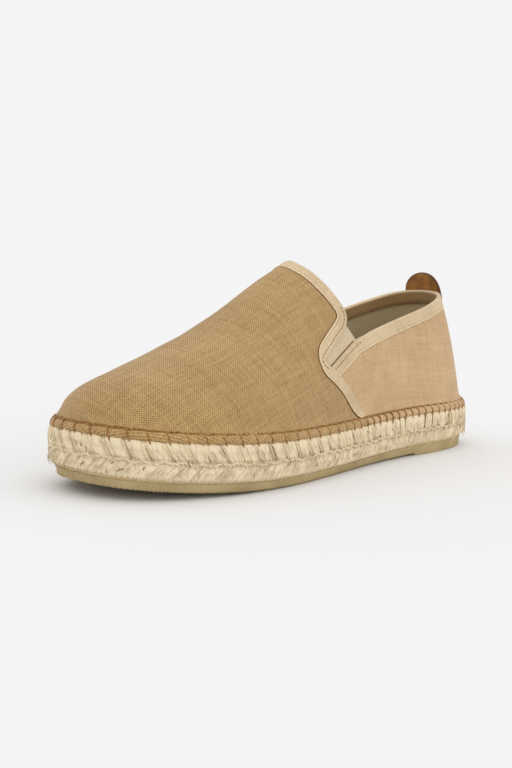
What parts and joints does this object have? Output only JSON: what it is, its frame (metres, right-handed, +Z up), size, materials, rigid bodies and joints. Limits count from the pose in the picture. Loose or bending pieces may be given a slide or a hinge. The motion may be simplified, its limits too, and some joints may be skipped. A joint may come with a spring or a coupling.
{
  "type": "espadrille",
  "caption": "Left canvas slip-on espadrille with elastic side gussets, a braided jute sole, a thin rubber outsole and a leather heel tab.",
  "frame": {"origin": "middle of the bounding box's base, on the floor under the shoe", "axes": "+Z up, toe towards -Y, heel towards +Y, outer side of the left foot towards +X"},
  "size_m": [0.096, 0.285, 0.1063],
  "materials": {
    "rubber": "matte khaki vulcanised rubber with a fine ribbed tread",
    "jute": "natural cream jute braid with loose fibres",
    "sock": "plain grey-beige cotton sock",
    "canvas": "tan plain-weave canvas with slubs",
    "elastic": "ribbed grey-beige elastic",
    "leather": "brown leather with darker cut edges",
    "binding": "pale beige cotton tape",
    "thread": "waxed ochre-brown sewing thread"
  },
  "bodies": {
    "root": {"outsole": "rubber", "midsole": "jute", "insole": "sock", "upper": "canvas", "gusset_outer": "elastic", "gusset_inner": "elastic", "pull_tab": "leather"}
  },
  "joints": []
}
